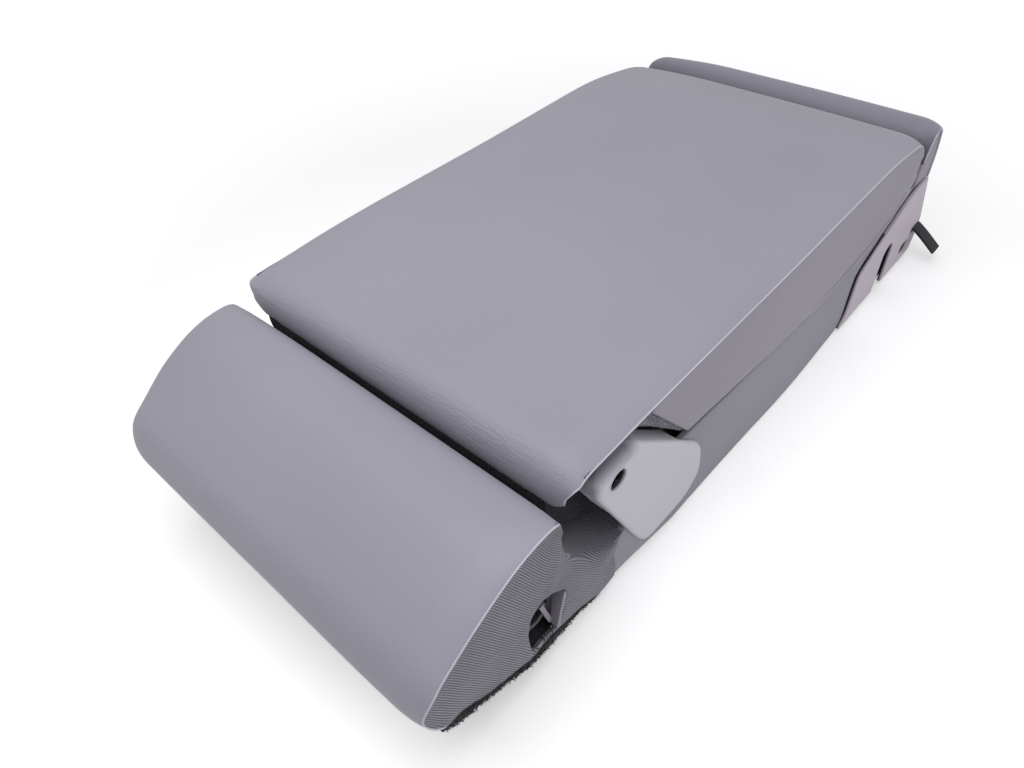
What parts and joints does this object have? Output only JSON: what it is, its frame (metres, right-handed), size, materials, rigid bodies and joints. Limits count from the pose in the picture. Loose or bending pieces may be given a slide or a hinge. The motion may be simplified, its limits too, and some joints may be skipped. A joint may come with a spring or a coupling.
{
  "type": "rear seat armrest",
  "caption": "Centre section of a split rear seat back with a lumbar roll and a padded armrest that folds out on side pivots, lying on its back.",
  "frame": {"origin": "middle of the carpeted back's face, half way along the section", "axes": "+X across the section, +Y from the lumbar roll to the top end, +Z from the back to the seated face"},
  "size_m": [0.2746, 0.5809, 0.1462],
  "materials": {
    "carpet": "needled felt carpet, matt",
    "painted_steel": "dark dip coat, satin",
    "zinc_steel": "zinc plated, satin",
    "dark_steel": "blackened, satin",
    "spring_steel": "drawn wire",
    "ear_plastic": "fine grained",
    "cap_plastic": "fine grained",
    "core_plastic": "moulded",
    "bush_plastic": "natural",
    "foam": "moulded foam",
    "board": "pressed board",
    "rubber": "matt",
    "leather": "fine grain, soft sheen",
    "side_vinyl": "smooth coated cloth",
    "ribbed_cloth": "ribbed stretch cloth",
    "granular_cloth": "open mesh cloth",
    "webbing": "woven webbing"
  },
  "bodies": {
    "root": {"carpet": "carpet", "back_pan": "painted_steel", "frame_tube": "painted_steel", "cross_rail_lower": "painted_steel", "cross_rail_upper": "painted_steel", "hinge_bracket_left": "zinc_steel", "hinge_bracket_right": "zinc_steel", "pivot_bracket_left": "zinc_steel", "pivot_bracket_right": "zinc_steel", "pivot_pin_left": "dark_steel", "pivot_pin_right": "dark_steel", "ear_cover_left": "ear_plastic", "ear_cover_right": "ear_plastic", "section_foam": "foam", "recess_board": "board", "rest_buffers": "rubber", "side_cover_left": "side_vinyl", "side_cover_right": "side_vinyl", "roll_foam": "foam", "roll_cover": "leather", "roll_side_left": "ribbed_cloth", "roll_side_right": "ribbed_cloth", "valley_cloth": "ribbed_cloth", "top_foam": "foam", "top_cover": "leather", "top_side_left": "leather", "top_side_right": "leather", "end_cap": "cap_plastic", "pull_strap": "webbing", "latch_plate": "zinc_steel", "latch_pin": "dark_steel", "latch_spring": "spring_steel"},
    "armrest": {"arm_core": "core_plastic", "arm_foam": "foam", "arm_cover": "leather", "arm_band_left": "side_vinyl", "arm_band_right": "side_vinyl", "arm_near_cloth": "granular_cloth", "arm_gusset_left": "granular_cloth", "arm_gusset_right": "granular_cloth", "arm_underside": "core_plastic", "pivot_arm_left": "zinc_steel", "pivot_arm_right": "zinc_steel", "pivot_bush_left": "bush_plastic", "pivot_bush_right": "bush_plastic", "arm_screws": "dark_steel"},
    "hook": {"latch_hook": "zinc_steel"}
  },
  "joints": [
    {"name": "armrest_fold", "type": "hinge", "parent": "root", "child": "armrest", "pos_m": [0, -0.156, 0.1125], "axis": [1, 0, 0], "range_deg": [0, 110]},
    {"name": "latch_hook_turn", "type": "hinge", "parent": "root", "child": "hook", "pos_m": [0.1146, 0.2375, 0.051], "axis": [1, 0, 0], "range_deg": [0, 25], "stiffness_Nm_per_rad": 0.05, "springref_deg": -17.19}
  ]
}
